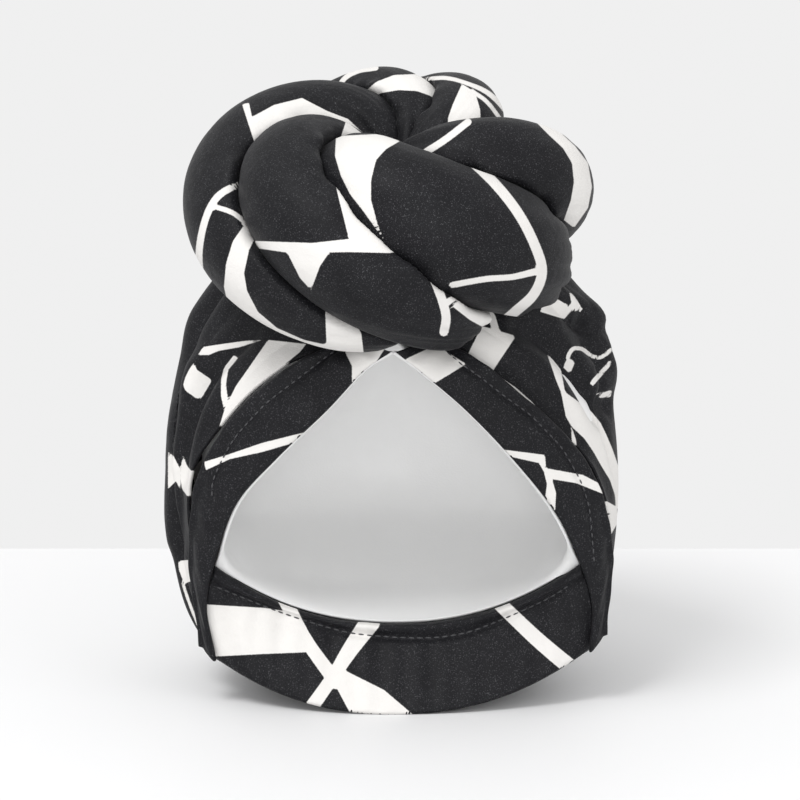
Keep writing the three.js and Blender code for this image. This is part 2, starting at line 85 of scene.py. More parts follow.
# One row for each section of the crown or the lining, from under the knot down to the heel
# and forward along the table. arm is the station of the arms that it starts from. side and
# side_back place its widest point as shares of the half width and the crown's depth, side_up
# and back_up are shares of the arch's height, and back is a share of the sheet's own depth.
CROWN = table(
    "arm side side_back side_up back back_up",
    (1.0, 0.2, 0.26, 1.1, 0.36, 1.14),
    (0.91, 0.63, 0.34, 1.13, 0.62, 1.17),
    (0.82, 0.87, 0.39, 1.01, 0.85, 1.08),
    (0.68, 0.93, 0.37, 0.89, 0.95, 0.89),
    (0.53, 0.975, 0.34, 0.74, 1.0, 0.71),
    (0.39, 0.995, 0.32, 0.57, 1.0, 0.52),
    (0.27, 0.975, 0.31, 0.41, 0.96, 0.33),
    (0.17, 0.93, 0.3, 0.275, 0.9, 0.16),
    (0.1, 0.86, 0.27, 0.18, 0.82, 0.045),
    (0.06, 0.76, 0.23, 0.1, 0.7, -0.012),
    (0.03, 0.66, 0.15, 0.062, 0.4, -0.012),
)
LINING = table(
    "arm side side_back side_up back back_up",
    (1.0, 0.1, 0.14, 0.95, 0.32, 0.97),
    (0.88, 0.42, 0.2, 0.94, 0.62, 0.99),
    (0.74, 0.78, 0.27, 0.9, 0.88, 0.93),
    (0.6, 0.93, 0.29, 0.78, 0.98, 0.78),
    (0.48, 0.99, 0.29, 0.63, 1.0, 0.62),
    (0.38, 0.97, 0.29, 0.49, 0.95, 0.46),
    (0.32, 0.9, 0.27, 0.38, 0.78, 0.31),
)

# One row for each long fold of the crown. side is -1 on the left and 1 on the right, top and
# foot are how far round from the seam it starts and ends as shares of half the crown, width
# is a share of the same and rise is in metres.
FOLDS = table(
    "side top foot width rise",
    (-1, 0.36, 0.2, 0.03, -0.004),
    (-1, 0.46, 0.27, 0.055, 0.005),
    (-1, 0.57, 0.38, 0.025, -0.0045),
    (-1, 0.7, 0.46, 0.06, 0.005),
    (-1, 0.8, 0.6, 0.025, -0.004),
    (-1, 0.9, 0.74, 0.05, 0.004),
    (1, 0.38, 0.2, 0.03, -0.0035),
    (1, 0.5, 0.29, 0.055, 0.005),
    (1, 0.61, 0.42, 0.025, -0.0045),
    (1, 0.75, 0.52, 0.06, 0.005),
    (1, 0.86, 0.7, 0.025, -0.004),
    (1, 0.95, 0.86, 0.04, 0.003),
)

# One row for each roll of the knot, in the order in which they lie on each other. start is
# its azimuth at the pit in degrees, from the front round by the right, and sweep is how far
# it winds round the ring. pit, full and end are its radii as shares of the rope's, rise and
# foot the angles on the ring's section where it starts and ends.
ROLLS = table(
    "start sweep pit full end rise foot",
    (316, 120, 0.38, 0.59, 0.44, 160, -62),
    (264, 124, 0.34, 0.53, 0.4, 155, -70),
    (192, 160, 0.34, 0.55, 0.44, 140, -84),
    (40, 85, 0.32, 0.46, 0.4, 150, -60),
    (150, 72, 0.36, 0.43, 0.38, 150, -20),
    (104, 112, 0.32, 0.46, 0.4, 145, -50),
)

# The views that the charts below are drawn on: azimuth from the front round by the right, and
# elevation. Each looks at the middle of the cap from the camera's distance.
VIEWS = {"front": (0, 12), "right": (90, 12), "back": (180, 12), "left": (270, 12), "top": (0, 78)}
VIEW_SIZE = 800  # a view's frame is this many units wide and high, from its upper left corner

# The print, charted by piece and view. Each row is one white stripe: its places as
# x, y and width on that view's frame.
STRIPES = {
    "knot_roll_1": {
        "front": [
            [(455, 152, 6), (474, 164, 9), (498, 187, 10), (520, 216, 10), (536, 248, 10),
             (542, 272, 10), (534, 294, 10), (516, 311, 10), (498, 325, 8)],
            [(452, 285, 6), (486, 279, 6), (512, 277, 6), (538, 271, 7)],
        ],
        "right": [
            [(300, 270, 8), (350, 250, 8), (400, 290, 8)],
        ],
    },
    "knot_roll_2": {
        "front": [
            [(398, 247, 8), (416, 257, 9), (430, 272, 9), (440, 294, 9), (446, 316, 9),
             (444, 332, 9)],
            [(445, 304, 6), (468, 289, 6)],
        ],
        "top": [
            [(300, 420, 8), (340, 400, 8), (360, 360, 8)],
        ],
    },
    "knot_roll_3": {
        "front": [
            [(252, 180, 6), (225, 191, 7), (211, 206, 7), (202, 232, 7), (199, 260, 7),
             (204, 287, 7), (215, 312, 7), (232, 332, 7), (254, 346, 7)],
            [(213, 206, 5), (233, 213, 5), (248, 225, 5), (260, 237, 5)],
        ],
        "left": [
            [(300, 140, 8), (350, 190, 9), (345, 260, 8), (380, 320, 8)],
            [(350, 195, 7), (430, 215, 7)],
        ],
        "back": [
            [(560, 120, 16), (575, 180, 22), (560, 250, 20)],
        ],
    },
    "knot_roll_4": {
        "front": [
            [(426, 152, 7), (446, 139, 7), (468, 122, 7)],
        ],
        "right": [
            [(360, 140, 8), (400, 200, 9), (390, 270, 8)],
            [(470, 140, 20), (480, 210, 24), (470, 270, 20)],
        ],
        "back": [
            [(215, 150, 8), (260, 190, 8), (250, 250, 8)],
        ],
    },
    "knot_roll_5": {
        "front": [
            [(337, 90, 5), (345, 78, 5), (358, 71, 5), (376, 68, 5)],
        ],
        "left": [
            [(230, 150, 10), (262, 200, 12), (270, 240, 10)],
        ],
        "back": [
            [(470, 105, 8), (500, 160, 9), (540, 190, 8)],
        ],
    },
    "knot_roll_6": {
        "front": [
            [(337, 88, 5), (346, 74, 5), (369, 66, 5), (393, 64, 5)],
            [(426, 79, 4), (446, 78, 4), (466, 83, 4), (488, 93, 5), (505, 110, 5), (518, 132, 5)],
            [(472, 91, 4), (488, 103, 4), (506, 127, 4)],
        ],
        "back": [
            [(318, 110, 8), (352, 165, 9), (340, 222, 8)],
            [(420, 120, 20), (400, 190, 24), (430, 250, 24)],
        ],
        "right": [
            [(540, 120, 8), (590, 170, 9), (600, 230, 8)],
        ],
    },
    "crown": {
        "front": [
            [(213, 448, 3), (209, 480, 3), (205, 510, 3), (202, 538, 3), (203, 558, 3)],
            [(183, 584, 3), (189, 602, 3), (197, 622, 3), (208, 645, 3)],
            [(568, 356, 4), (573, 349, 4), (582, 349, 4), (592, 356, 4), (601, 357, 4),
             (611, 350, 4)],
        ],
        "left": [
            [(478, 372, 14), (380, 420, 10), (300, 470, 8), (180, 500, 8)],
            [(482, 475, 16), (400, 500, 10), (330, 560, 16), (250, 640, 26)],
            [(395, 418, 7), (412, 500, 7)],
            [(300, 470, 8), (270, 380, 8), (290, 310, 8)],
            [(170, 500, 8), (220, 600, 24), (260, 690, 30)],
            [(478, 575, 16), (400, 620, 9), (330, 560, 7)],
            [(270, 380, 9), (160, 420, 12)],
        ],
        "back": [
            [(180, 350, 8), (300, 400, 10), (420, 370, 12), (570, 330, 16)],
            [(300, 400, 8), (280, 500, 8), (340, 620, 14), (330, 700, 18)],
            [(420, 370, 8), (470, 470, 22), (610, 520, 26)],
            [(280, 500, 8), (170, 540, 8)],
            [(470, 470, 9), (440, 600, 9), (570, 650, 10)],
            [(340, 620, 8), (440, 600, 8)],
        ],
        "right": [
            [(318, 400, 12), (380, 380, 8), (470, 430, 8), (560, 400, 12), (660, 440, 8)],
            [(330, 490, 18), (400, 520, 20), (480, 600, 10), (520, 690, 10)],
            [(470, 430, 8), (450, 500, 8), (400, 520, 8)],
            [(560, 400, 9), (590, 520, 18), (650, 600, 26)],
            [(480, 600, 9), (590, 520, 9)],
            [(325, 565, 10), (380, 620, 8), (370, 690, 8)],
            [(430, 300, 8), (470, 430, 8)],
        ],
    },
    "nape_band": {
        "front": [
            [(284, 598, 14), (306, 640, 13), (336, 682, 14)],
            [(370, 622, 20), (350, 650, 16), (332, 678, 13), (309, 711, 14)],
            [(500, 604, 14), (538, 640, 15), (576, 672, 16)],
        ],
    },
}

# White patches with corners, charted in the same way: the corners as x and y.
PATCHES = {
    "knot_roll_1": {
        "front": [
            [(336, 136), (335, 156), (341, 176), (350, 194), (364, 212), (384, 240), (377, 222),
             (371, 200), (371, 180), (376, 160), (386, 149), (400, 141), (380, 134)],
        ],
    },
    "knot_roll_2": {
        "front": [
            [(255, 241), (312, 243), (349, 239), (343, 215), (338, 195), (332, 168), (352, 185),
             (374, 212), (392, 238), (407, 250), (390, 253), (350, 252), (290, 253), (256, 248)],
            [(286, 250), (331, 250), (320, 266), (311, 290), (300, 278)],
            [(452, 306), (468, 293), (480, 298), (504, 312), (488, 330), (470, 320)],
            [(346, 121), (364, 135), (350, 144), (337, 150)],
        ],
    },
    "knot_roll_3": {
        "front": [
            [(242, 104), (249, 103), (252, 117), (274, 105), (302, 98), (327, 111), (348, 119),
             (364, 134), (361, 139), (345, 125), (318, 115), (299, 118), (281, 125), (266, 134),
             (261, 146), (256, 147)],
            [(247, 221), (233, 241), (226, 264), (224, 287), (228, 305), (239, 323), (257, 339),
             (288, 350), (340, 352), (336, 347), (304, 340), (277, 328), (258, 312), (247, 291),
             (244, 273), (249, 250), (260, 228)],
            [(325, 303), (346, 314), (361, 332), (364, 356), (327, 356)],
            [(346, 121), (364, 135), (350, 144), (337, 150)],
        ],
    },
    "knot_roll_4": {
        "front": [
            [(532, 118), (550, 136), (563, 148), (572, 163), (574, 182), (571, 200), (564, 220),
             (574, 228), (588, 208), (592, 187), (588, 163), (575, 146), (560, 132), (546, 118)],
        ],
    },
    "knot_roll_5": {
        "front": [
            [(366, 91), (376, 82), (394, 75), (418, 74), (433, 81), (443, 94), (447, 112),
             (441, 106), (431, 96), (417, 91), (399, 90), (381, 93), (370, 100)],
        ],
    },
    "knot_roll_6": {
        "front": [
            [(462, 84), (475, 92), (480, 109), (481, 128), (472, 136), (448, 138), (448, 118),
             (453, 104)],
        ],
    },
    "front_band_left": {
        "front": [
            [(345, 352), (392, 336), (384, 350), (376, 362), (352, 392), (352, 366)],
            [(204, 462), (227, 455), (262, 443), (310, 431), (300, 441), (262, 452), (230, 459),
             (206, 470)],
        ],
    },
    "front_band_right": {
        "front": [
            [(396, 366), (408, 358), (436, 345), (466, 364), (450, 374), (430, 386)],
            [(498, 449), (545, 455), (546, 468), (539, 463), (512, 457), (498, 456)],
            [(539, 463), (546, 468), (552, 479), (556, 493), (555, 512), (545, 500), (547, 484),
             (544, 472)],
            [(545, 468), (583, 475), (604, 486), (606, 495), (576, 483), (551, 479)],
        ],
    },
    "crown": {
        "front": [
            [(268, 340), (250, 366), (236, 386), (225, 408), (219, 428), (213, 452), (224, 434),
             (234, 417), (250, 398), (270, 376), (300, 352), (306, 344)],
            [(234, 355), (224, 368), (221, 380), (221, 396), (224, 410), (228, 402), (226, 384),
             (228, 370), (238, 358)],
            [(198, 355), (203, 347), (216, 345), (244, 341), (262, 340), (240, 347), (218, 351),
             (209, 355)],
            [(194, 363), (197, 370), (212, 380), (201, 399), (196, 398), (186, 391), (183, 386),
             (185, 378), (190, 368)],
            [(183, 454), (187, 466), (196, 476), (202, 486), (204, 498), (203, 512), (199, 503),
             (188, 497), (182, 489), (180, 474)],
            [(168, 452), (173, 455), (181, 471), (180, 489), (176, 481), (168, 489)],
            [(178, 561), (198, 559), (198, 580), (184, 583), (179, 570)],
            [(199, 574), (209, 589), (205, 602), (197, 600)],
            [(478, 302), (487, 304), (495, 315), (500, 332), (492, 330), (488, 317)],
            [(482, 326), (516, 336), (492, 372), (466, 360), (470, 350)],
            [(452, 350), (470, 360), (491, 371), (515, 387), (532, 402), (544, 416), (527, 405),
             (502, 388), (470, 368)],
            [(552, 296), (548, 301), (538, 311), (564, 319), (574, 309)],
            [(569, 291), (575, 297), (585, 313), (573, 310)],
            [(568, 357), (575, 362), (570, 374), (563, 367)],
            [(611, 359), (611, 365), (593, 386), (589, 383)],
            [(595, 394), (612, 390), (611, 397), (600, 398)],
            [(547, 354), (552, 368), (556, 380), (561, 392), (563, 402), (566, 417), (572, 427),
             (584, 438), (593, 451), (602, 467), (610, 480), (615, 495), (616, 508), (622, 508),
             (622, 480), (617, 462), (612, 448), (606, 434), (600, 422), (589, 409), (576, 400),
             (565, 392), (563, 381), (561, 370), (553, 360)],
            [(571, 425), (576, 440), (577, 452), (572, 442)],
            [(601, 498), (617, 507), (618, 522), (609, 538), (608, 527), (605, 516), (611, 514),
             (602, 507)],
            [(595, 555), (611, 551), (608, 573), (596, 573)],
            [(589, 591), (600, 589), (600, 617), (591, 617)],
        ],
    },
    "nape_band": {
        "front": [
            [(198, 604), (265, 608), (284, 611), (300, 618), (322, 656), (312, 652), (262, 654),
             (204, 657)],
            [(326, 668), (338, 667), (384, 690), (424, 724), (356, 724)],
        ],
    },
}

# Lines of topstitching, charted on the front view: x, y and the groove's height in millimetres.
LEFT_TOPSTITCH = [(336, 350, -0.8), (322, 360, -1.1), (295, 381, -1.1), (269, 401, -1.1),
    (254, 416, -1.1), (232, 442, -1.1), (214, 478, -1.1), (212, 498, -0.3)]
RIGHT_TOPSTITCH = [(461, 364, -0.8), (476, 374, -1.1), (494, 388, -1.1), (511, 401, -1.1),
    (529, 414, -1.1), (545, 430, -1.1), (561, 447, -1.1), (573, 467, -1.1), (581, 482, -1.1),
    (587, 500, -1.1), (590, 514, -1.1), (594, 560, -0.3)]
HEM_TOPSTITCH = [(214, 586, -1), (277, 611, -1.5), (320, 625, -1.5), (358, 634, -1.5),
    (418, 638, -1.5), (460, 634, -1.5), (496, 622, -1.5), (545, 600, -1.5), (571, 584, -0.6)]

# Creases and ridges of single pieces, charted on the front view. spread is how far each reaches
# to either side, in metres, and its places are x, y and height in millimetres.
CREASES = {
    "crown": [
        (0.0055, [(245, 341, -3), (222, 360, -5), (199, 401, -5), (187, 441, -4.5),
            (182, 476, -4), (180, 512, -3), (179, 555, -2)]),
        (0.008, [(250, 352, 1), (224, 385, 3), (204, 430, 3.5), (196, 480, 3), (194, 540, 1)]),
        (0.008, [(222, 345, 2), (196, 372, 4), (180, 420, 4), (174, 470, 3), (172, 540, 2)]),
        (0.0035, [(450, 352, -3), (500, 372, -5), (539, 405, -5), (571, 442, -4), (588, 470, 0)]),
        (0.008, [(480, 335, 3), (530, 362, 5), (560, 395, 4.5), (582, 430, 2)]),
        (0.0055, [(520, 328, -3), (556, 350, -6), (580, 385, -6), (603, 424, -5), (614, 470, -1)]),
        (0.008, [(560, 318, 0), (585, 335, -5), (596, 352, -3), (604, 385, 0)]),
        (0.0035, [(552, 303, -3), (575, 316, -5), (600, 332, -4)]),
        (0.007, [(560, 296, 2), (590, 312, 4), (606, 330, 3)]),
        (0.008, [(604, 340, 3), (608, 365, 5), (606, 385, 3)]),
        (0.005, [(598, 402, -4), (608, 404, -5)]),
    ],
    "front_band_left": [(0.0017, LEFT_TOPSTITCH)],
    "front_band_right": [(0.0017, RIGHT_TOPSTITCH)],
    "nape_band": [(0.0016, HEM_TOPSTITCH)],
}

# Rows of stitches of single pieces: a stitch's length and the step from one to the next in
# metres, and then the places of the row on the front view.
STITCHES = {
    "front_band_left": [(0.0022, 0.0034, LEFT_TOPSTITCH)],
    "front_band_right": [
        (0.0026, 0.0032, [(434, 341), (447, 352), (461, 364)]),
        (0.0022, 0.0034, RIGHT_TOPSTITCH),
    ],
    "nape_band": [(0.0026, 0.0036, HEM_TOPSTITCH)],
}


def length(name, description, default):
    """A property that is a length in metres."""
    return FloatProperty(name=name, description=description, default=default, unit="LENGTH")


def share(name, description, default):
    """A property that is a share of something."""
    return FloatProperty(name=name, description=description, default=default, subtype="FACTOR")


def count(name, description, default):
    """A property that is a number of rows or columns."""
    return IntProperty(name=name, description=description, default=default, min=4)


class TurbanSizes(bpy.types.PropertyGroup):
    """Sizes of the cap and its knot."""

    arch_half_span: length("Arch half span", "Half the opening's width between its lower corners", 0.080)
    arch_height: length("Arch height", "From the table to the point of the arch", 0.157)
    arch_lean: length("Arch lean", "How far the corners lie behind the nape's front edge", 0.012)
    band_set_back: length("Band set back", "How far the band's seam lies behind its front edge", 0.020)
    side_bulge: length("Side bulge", "How far the crown stands out beyond the opening", 0.0145)
    crown_depth: length("Crown depth", "From the nape's front edge to the back of the crown", 0.136)
    nape_width: length("Nape width", "The facing from its fold to its hem", 0.041)
    nape_slope: FloatProperty(
        name="Nape slope",
        description="Angle that the facing rises from the table",
        default=math.radians(52),
        subtype="ANGLE",
    )
    hem_station: share("Hem station", "Where on the arms the nape's hem ends", 0.26)
    lining_ease: length("Lining ease", "How far the lining lies inside the crown at the sides", 0.010)
    lining_depth: length("Lining depth", "From the nape's front edge to the back of the lining", 0.112)
    shift_across: length("Shift across", "From the cap's own middle line to the frame's", 0.000064)
    shift_back: length("Shift back", "From the nape's front edge to the frame's middle", -0.043745)
    knot_ring: length("Knot ring", "Radius of the circle that the rolls wind round", 0.0425)
    knot_rope: length("Knot rope", "Radius of all the rolls together round that circle", 0.044)
    knot_tilt: FloatProperty(
        name="Knot tilt",
        description="Angle that the knot leans towards the front",
        default=math.radians(13),
        subtype="ANGLE",
    )
    knot_offset: length("Knot offset", "The knot's centre from the cap's middle", -0.002)
    knot_back: length("Knot back", "The knot's centre behind the nape's front edge", 0.035)
    knot_sink: length("Knot sink", "How far the soft underside is pressed in", 0.001)


class TurbanCloth(bpy.types.PropertyGroup):
    """Thicknesses, folds and mesh sizes of the cloth."""

    cloth: length("Cloth", "Thickness of the gathered outer cloth", 0.0016)
    band_cloth: length("Band cloth", "Thickness of the folded front band", 0.0026)
    nape_cloth: length("Nape cloth", "Thickness of the facing", 0.0022)
    lining_cloth: length("Lining cloth", "Thickness of the lining", 0.0013)
    hem_roll: length("Hem roll", "Thickness of the rolled hem", 0.0044)
    seam_ridge: length("Seam ridge", "Extra height of the band's outer seam", 0.0019)
    gap: length("Gap", "Clearance between neighbouring pieces", 0.0003)
    gather: length("Gather", "Height of the gathers where the rolls are drawn in", 0.0034)
    pleat: length("Pleat", "Height of the crown's gathers under the knot", 0.0015)
    neck: length("Neck", "How far the gathered crown reaches up into the knot", 0.02)
    pucker: length("Pucker", "Height of the puckers where one roll presses on another", 0.0034)
    lining_wave: length("Lining wave", "Height of the lining's broad soft folds", 0.0026)
    edge: length("Print edge", "How far black fades into white at a stripe's edge", 0.0003)
    crown_rows: count("Crown rows", "Rows of faces from the knot to the nape", 150)
    crown_columns: count("Crown columns", "Columns of faces round the crown", 290)
    roll_rows: count("Roll rows", "Rows of faces along a roll", 170)
    roll_columns: count("Roll columns", "Columns of faces round a roll", 112)


class TurbanStage(bpy.types.PropertyGroup):
    """The table, the camera and the light."""

    distance: length("Distance", "From the camera to the middle of the cap", 1.2)
    elevation: FloatProperty(
        name="Elevation",
        description="Angle that the camera looks down",
        default=math.radians(12),
        subtype="ANGLE",
    )
    lens: FloatProperty(name="Lens", description="Focal length in millimetres", default=128.57)
    sensor: FloatProperty(name="Sensor", description="Width of the film in millimetres", default=36.0)
    aim_across: length("Aim across", "Where the camera looks, across", 0.0028)
    aim_back: length("Aim back", "Where the camera looks, from front to back", -0.0163)
    aim_up: length("Aim up", "Where the camera looks, above the table", 0.1292)
    table_back: length("Table back", "The table's far edge behind the cap's middle", 0.226)
    table_size: length("Table size", "The table's width, and its reach towards the camera", 3.0)


def smooth(values, t):
    """Smooth values at shares t of the way through a list of values along its first axis."""
    values = np.asarray(values, float)
    last = len(values) - 1
    x = np.clip(np.asarray(t, float), 0, 1) * last
    i = np.minimum(np.floor(x).astype(int), last - 1)
    f = (x - i).reshape(np.shape(x) + (1,) * (values.ndim - 1))
    first = (i == 0).reshape(f.shape)
    final = (i + 2 > last).reshape(f.shape)
    b, c = values[i], values[i + 1]
    a = np.where(first, 2 * b - c, values[np.maximum(i - 1, 0)])
    d = np.where(final, 2 * c - b, values[np.minimum(i + 2, last)])
    return b + f / 2 * (c - a + f * (2 * a - 5 * b + 4 * c - d + f * (3 * (b - c) + d - a)))


def xyz(x, y, z):
    """Points from their three coordinates."""
    return np.stack(np.broadcast_arrays(x, y, z), axis=-1).astype(float)


def unit(vectors):
    """The same vectors, each one metre long."""
    return vectors / np.maximum(np.linalg.norm(vectors, axis=-1, keepdims=True), 1e-12)


def mix(a, b, t):
    """The value at share t of the way from a to b."""
    return a + (b - a) * t


def bump(x, width):
    """A soft bell of height 1 at x = 0."""
    return np.exp(-((x / width) ** 2))


def apart(a, b):
    """The distance from each of some points to each of some others."""
    squares = (a**2).sum(axis=1)[:, None] + (b**2).sum(axis=1) - 2 * a @ b.T
    return np.sqrt(np.maximum(squares, 0))


def normals_of(points):
    """The normal at each point of a grid, from its neighbours."""
    return unit(np.cross(np.gradient(points, axis=1), np.gradient(points, axis=0)))


def arm_edge(s, side, t):
    """The front edge of an arm at shares t from its corner to the point of the arch."""
    arm = LEFT_ARM if side < 0 else RIGHT_ARM
    return xyz(
        side * smooth(arm["across"], t) * s.arch_half_span,
        smooth(arm["back"], t) * s.arch_lean,
        smooth(arm["up"], t) * s.arch_height,
    )


def arm_seam(s, side, t):
    """The outer seam of an arm at shares t from its corner to the point of the arch."""
    arm = LEFT_ARM if side < 0 else RIGHT_ARM
    return xyz(
        side * smooth(arm["seam_across"], t) * s.arch_half_span,
        smooth(arm["seam_back"], t) * s.band_set_back,
        smooth(arm["seam_up"], t) * s.arch_height,
    )


TURN_ACROSS, TURN_BACK = 0.74, 0.72  # a section's back corner, as shares of its side and back


def section_points(s, rows, t, half_width, depth, start):
    """Seven points of each section at shares t, from the left arm round the back to the right."""
    side = smooth(rows["side"], t) * half_width
    side_y = smooth(rows["side_back"], t) * s.crown_depth
    side_z = smooth(rows["side_up"], t) * s.arch_height
    back_y = smooth(rows["back"], t) * depth
    back_z = smooth(rows["back_up"], t) * s.arch_height
    turn_y, turn_z = mix(side_y, back_y, TURN_BACK), mix(side_z, back_z, TURN_BACK)
    arm = smooth(rows["arm"], t)
    return np.stack(
        [
            start(-1, arm),
            xyz(-side, side_y, side_z),
            xyz(-side * TURN_ACROSS, turn_y, turn_z),
            xyz(0 * side, back_y, back_z),
            xyz(side * TURN_ACROSS, turn_y, turn_z),
            xyz(side, side_y, side_z),
            start(1, arm),
        ]
    )


CROWN_SHARE = 0.93  # the rest of the crown leads to the nape's fold
SPREAD = 0.45  # 1 would space the crown's columns evenly; they lie closer near the arms


def spread(v):
    """How far round the crown a column at share v lies."""
    s = 2 * v - 1
    return (1 + mix(np.sin(math.pi / 2 * s), s, SPREAD)) / 2


def nape_point(s, c, t, u):
    """The facing at share t from its fold to its hem, u from -1 at the left to 1."""
    ends = [arm_edge(s, side, np.asarray(t * s.hem_station)) for side in (-1, 1)]
    end = np.where(np.asarray(u)[..., None] < 0, ends[0], ends[1])
    end = end + np.array([0, (c.band_cloth + c.hem_roll) / 2 + c.gap, 0])
    k = np.abs(u)
    run, climb = s.nape_width * math.cos(s.nape_slope), s.nape_width * math.sin(s.nape_slope)
    return xyz(
        end[..., 0] * k,
        mix(run * t, end[..., 1], k ** mix(2, 2.6, t)),
        mix(climb * t, end[..., 2], k**2.3),
    )


def crown_folds(c, t, v):
    """Height of the crown's long folds and of its gathers at shares t down and v round it."""
    fade = np.sin(math.pi * np.minimum(t * 1.12, 1)) ** 0.6
    height = 0 * t * v
    for side, top, foot, width, rise in zip(*FOLDS.values()):
        near = 2 * v if side < 0 else 2 - 2 * v
        height = height + rise * fade * bump(near - mix(top, foot, t), width)
    pleats = np.abs(np.sin(math.pi * 19 * v + 2.5 * np.sin(9 * v) + 2 * t)) ** 0.8 - 0.6
    slack = np.sin(9 * v + 5 * t) * np.sin(13 * t + 4 * v) * 0.0006
    return height + c.pleat * pleats * bump(t, 0.24) + slack * fade


def crown_grid(s, c):
    """The crown's outer face, before its charted creases."""
    t = np.linspace(0, 1, c.crown_rows + 1)
    v = spread(np.linspace(0, 1, c.crown_columns + 1))

    def behind_seam(side, at):
        seam = arm_seam(s, side, at)
        out = unit(seam - arm_edge(s, side, at))
        return seam + out * (c.gap + c.seam_ridge)

    sections = section_points(
        s,
        CROWN,
        np.minimum(t / CROWN_SHARE, 1),
        s.arch_half_span + s.side_bulge,
        s.crown_depth,
        behind_seam,
    )
    body = smooth(sections, v).swapaxes(0, 1)
    front = nape_point(s, c, 0, 2 * v - 1) + np.array([0, c.nape_cloth + c.gap, 0])
    to_front = np.clip((t - CROWN_SHARE) / (1 - CROWN_SHARE), 0, 1)[:, None, None]
    points = mix(body, front[None], to_front)
    neck = bump(t, 0.1)[:, None] * np.clip(4 * np.sin(math.pi * v), 0, 1)[None]
    points = points + xyz(0, 0, c.neck * neck)
    heights = crown_folds(c, t[:, None], v[None])
    points = points + normals_of(points) * heights[..., None]
    points[..., 2] = np.maximum(points[..., 2], 0.0002)
    return points


def lining_grid(s, c):
    """The lining's outer face."""
    t = np.linspace(0, 1, 91)
    v = np.linspace(0, 1, 181)

    def behind_edge(side, at):
        inward = np.array([-side * 0.0005, c.band_cloth / 2 + c.lining_cloth + c.gap, 0])
        return arm_edge(s, side, at) + inward

    sections = section_points(
        s,
        LINING,
        np.minimum(t / 0.9, 1),
        s.arch_half_span + s.side_bulge - s.lining_ease,
        s.lining_depth,
        behind_edge,
    )
    body = smooth(sections, v).swapaxes(0, 1)
    hem = nape_point(s, c, 1, 2 * v - 1) + np.array([0, c.hem_roll * 0.9, -c.hem_roll * 0.2])
    to_hem = np.clip((t - 0.8) / 0.2, 0, 1)
    points = mix(body, hem[None], (to_hem**2 * (3 - 2 * to_hem))[:, None, None])
    t, v = t[:, None], v[None]
    wave = np.sin(7 * v + 4 * t) + 0.7 * np.sin(13 * v - 6 * t + 1) + 0.5 * np.sin(9 * t + 5 * v)
    edges = np.clip(8 * np.minimum(v, 1 - v), 0, 1) * np.clip(6 * (1 - t), 0, 1)
    return points + normals_of(points) * (c.lining_wave * wave * edges)[..., None]


def strip_body(middle, outward, front, back):
    """A closed strip round a grid: its front face out and its back face home."""
    out = middle + outward * front[..., None]
    home = middle - outward * np.broadcast_to(back, front.shape)[..., None]
    return np.concatenate([out, home[:, ::-1], out[:, :1]], axis=1)


def arm_body(s, c, side):
    """The closed grid of a front arm, with its raised seam."""
    t = np.linspace(0, 1, 181)[:, None]
    v = np.linspace(0, 1, 37)[None]
    edge, seam = arm_edge(s, side, t[:, 0])[:, None], arm_seam(s, side, t[:, 0])[:, None]
    crest = 0.1 * np.linalg.norm(seam - edge, axis=-1) * np.sin(math.pi * v)
    middle = mix(edge, seam, v[..., None]) + xyz(side * crest * 0.4, -crest, crest * 0.3)
    outward = side * normals_of(middle)
    rounding = np.sqrt(np.clip(1 - (2 * v - 1) ** 8, 0, 1)) + 0 * t
    ridge = c.seam_ridge * bump(v - 0.9, 0.08)
    waver = 0.0003 * np.sin(31 * t + 3 * v) + 0.0002 * np.sin(71 * t - 5 * v)
    front = rounding * (c.band_cloth / 2 + ridge + waver)
    return strip_body(middle, outward, front, rounding * c.band_cloth / 2)


def nape_body(s, c):
    """The closed grid of the facing, with its rolled hem along the top."""
    t = np.concatenate([np.linspace(0, 0.8, 31), np.linspace(0.81, 1, 24)])
    u = np.linspace(-1, 1, 281)
    middle = nape_point(s, c, t[None], u[:, None])
    outward = -normals_of(middle)
    rounding = np.sqrt(np.clip(1 - (2 * t - 1) ** 16, 0, 1))
    half = mix(c.nape_cloth, c.hem_roll, bump(t - 0.94, 0.07)) / 2
    sag = 0.0005 * np.sin(23 * u)[:, None] * t[None] + 0.0003 * np.sin(47 * u + 2)[:, None]
    round_hem = 0.0016 * bump(t - 0.93, 0.05)
    front = rounding * (half + round_hem + sag)
    points = strip_body(middle, outward, front, rounding * half)
    points[..., 2] = np.maximum(points[..., 2], 0)
    return points


def knot_centre(s):
    """The middle of the ring that the rolls wind round."""
    seat_y, seat_z = -0.5 * s.arch_lean, s.arch_height
    lift = (s.knot_back - seat_y) * math.tan(s.knot_tilt)
    lift += (s.knot_rope - s.knot_sink) / math.cos(s.knot_tilt)
    return np.array([s.knot_offset, s.knot_back, seat_z + lift])


def knot_axis(s):
    """The direction that the knot's ring faces."""
    return np.array([0, -math.sin(s.knot_tilt), math.cos(s.knot_tilt)])


def roll_path(s, index, p):
    """Centres and radii of a roll at shares p from the pit to its foot."""
    start, sweep, pit, full, end, rise, foot = (column[index] for column in ROLLS.values())
    radius = s.knot_rope * smooth([pit, mix(pit, full, 0.75), full, full, end], p)
    turn = np.radians(start + sweep * p)
    angle = np.radians(mix(rise, foot, p))
    reach = s.knot_rope - radius
    out = xyz(
        np.sin(turn),
        -np.cos(turn) * math.cos(s.knot_tilt),
        -np.cos(turn) * math.sin(s.knot_tilt),
    )
    centre = knot_centre(s) + out * (s.knot_ring + reach * np.cos(angle))[..., None]
    return centre + knot_axis(s) * (reach * np.sin(angle))[..., None], radius


